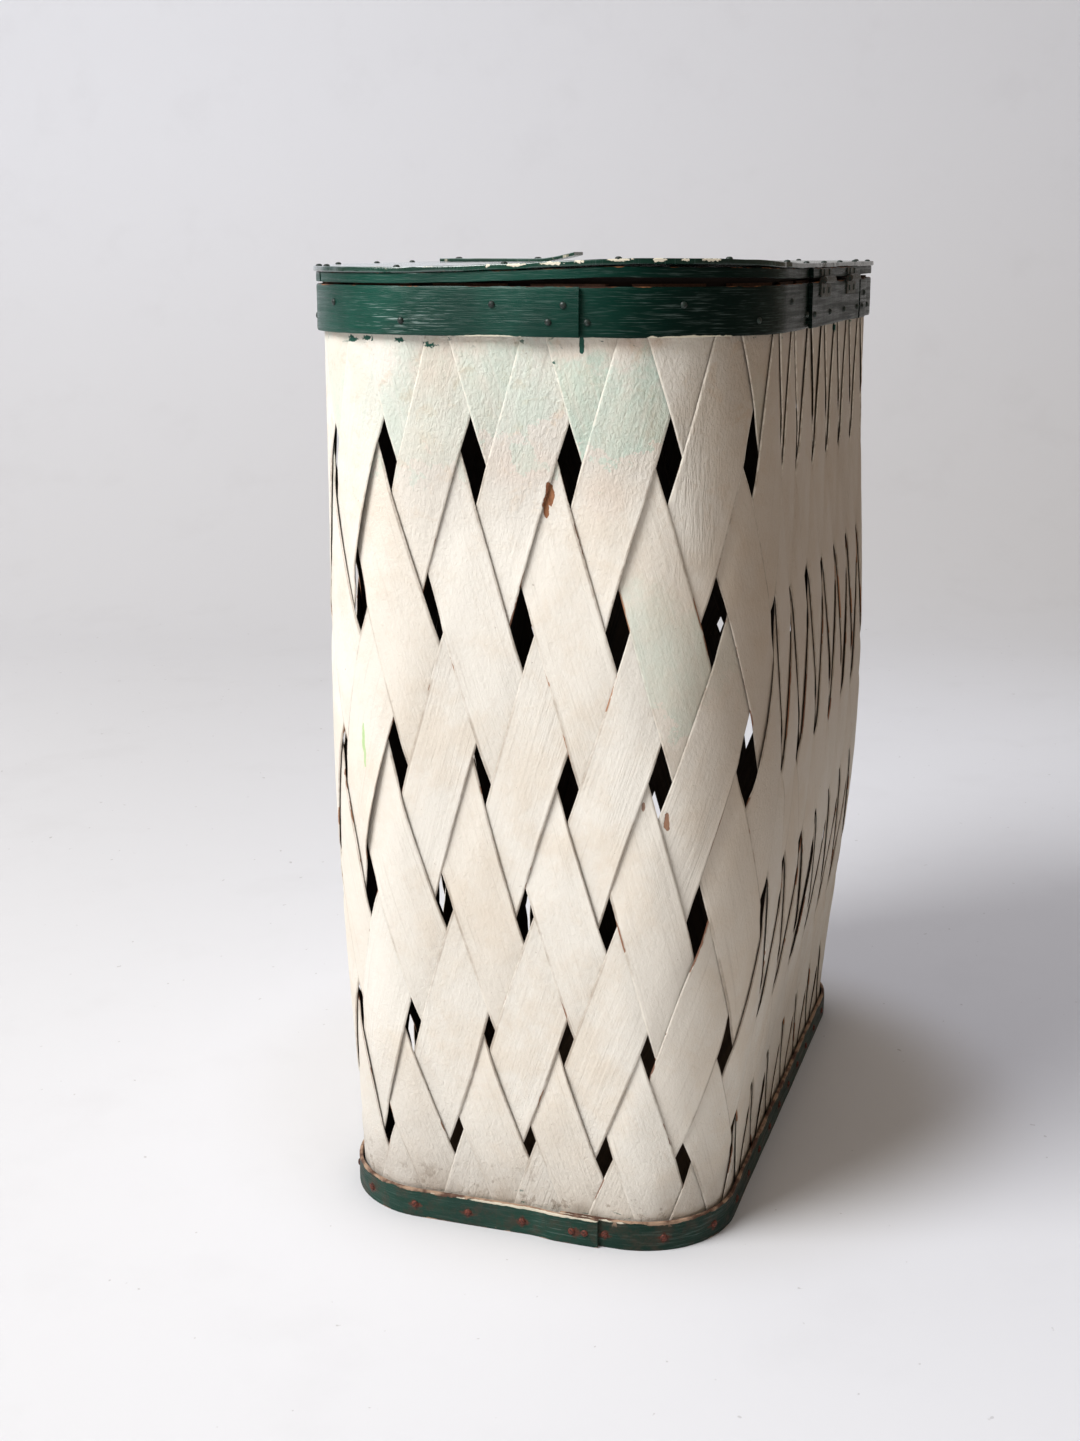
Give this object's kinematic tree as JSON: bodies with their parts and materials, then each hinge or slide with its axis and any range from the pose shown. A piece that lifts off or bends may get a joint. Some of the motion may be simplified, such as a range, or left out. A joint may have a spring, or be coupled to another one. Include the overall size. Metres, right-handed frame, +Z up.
{
  "type": "hamper basket",
  "caption": "Tall hamper of diagonally woven wood splints, with bent-lath rim and foot bands, a base board and a hinged board lid.",
  "frame": {"origin": "on the floor under the middle of the hamper", "axes": "+X along the long sides, +Y towards the hinged back, +Z up"},
  "size_m": [0.5562, 0.311, 0.6389],
  "materials": {
    "cream_splint": "thin wood splint under worn cream brush paint",
    "green_lath": "bent wood lath under glossy dark green paint, worn at its edges",
    "green_board": "thin board under dark green paint, chipped to cream along its edge",
    "bare_lath": "unpainted bent lath, darkened with age",
    "bare_board": "plain sawn board",
    "painted_steel": "small steel hinge painted over with the rim",
    "nail_steel": "rusty hammered nail heads"
  },
  "bodies": {
    "basket": {"base_board": "bare_board", "foot_band": "green_lath", "foot_nails": "nail_steel", "rim_band_front": "green_lath", "rim_band_back": "green_lath", "rim_back_lath": "green_lath", "rim_inner_hoop": "bare_lath", "rim_nails": "nail_steel", "hinge_leaf_rim_near": "painted_steel", "hinge_leaf_rim_far": "painted_steel", "hinge_pin_near": "painted_steel", "hinge_pin_far": "painted_steel", "hinge_nails_rim": "nail_steel", "splints_leaning_right_01": "cream_splint", "splints_leaning_right_02": "cream_splint", "splints_leaning_right_03": "cream_splint", "splints_leaning_right_04": "cream_splint", "splints_leaning_right_05": "cream_splint", "splints_leaning_right_06": "cream_splint", "splints_leaning_right_07": "cream_splint", "splints_leaning_right_08": "cream_splint", "splints_leaning_right_09": "cream_splint", "splints_leaning_right_10": "cream_splint", "splints_leaning_right_11": "cream_splint", "splints_leaning_right_12": "cream_splint", "splints_leaning_right_13": "cream_splint", "splints_leaning_left_01": "cream_splint", "splints_leaning_left_02": "cream_splint", "splints_leaning_left_03": "cream_splint", "splints_leaning_left_04": "cream_splint", "splints_leaning_left_05": "cream_splint", "splints_leaning_left_06": "cream_splint", "splints_leaning_left_07": "cream_splint", "splints_leaning_left_08": "cream_splint", "splints_leaning_left_09": "cream_splint", "splints_leaning_left_10": "cream_splint", "splints_leaning_left_11": "cream_splint", "splints_leaning_left_12": "cream_splint", "splints_leaning_left_13": "cream_splint"},
    "lid": {"lid_panel": "green_board", "lid_hoop_front": "green_lath", "lid_hoop_back": "green_lath", "lid_back_lath": "green_lath", "lid_nails": "nail_steel", "lid_pull_strap": "green_lath", "strap_nails": "nail_steel", "hinge_leaf_lid_near": "painted_steel", "hinge_leaf_lid_far": "painted_steel", "hinge_nails_lid": "nail_steel"}
  },
  "joints": [
    {"name": "lid_hinge", "type": "hinge", "parent": "basket", "child": "lid", "pos_m": [0, 0.1562, 0.6215], "axis": [-1, 0, 0], "range_deg": [0, 110]}
  ]
}
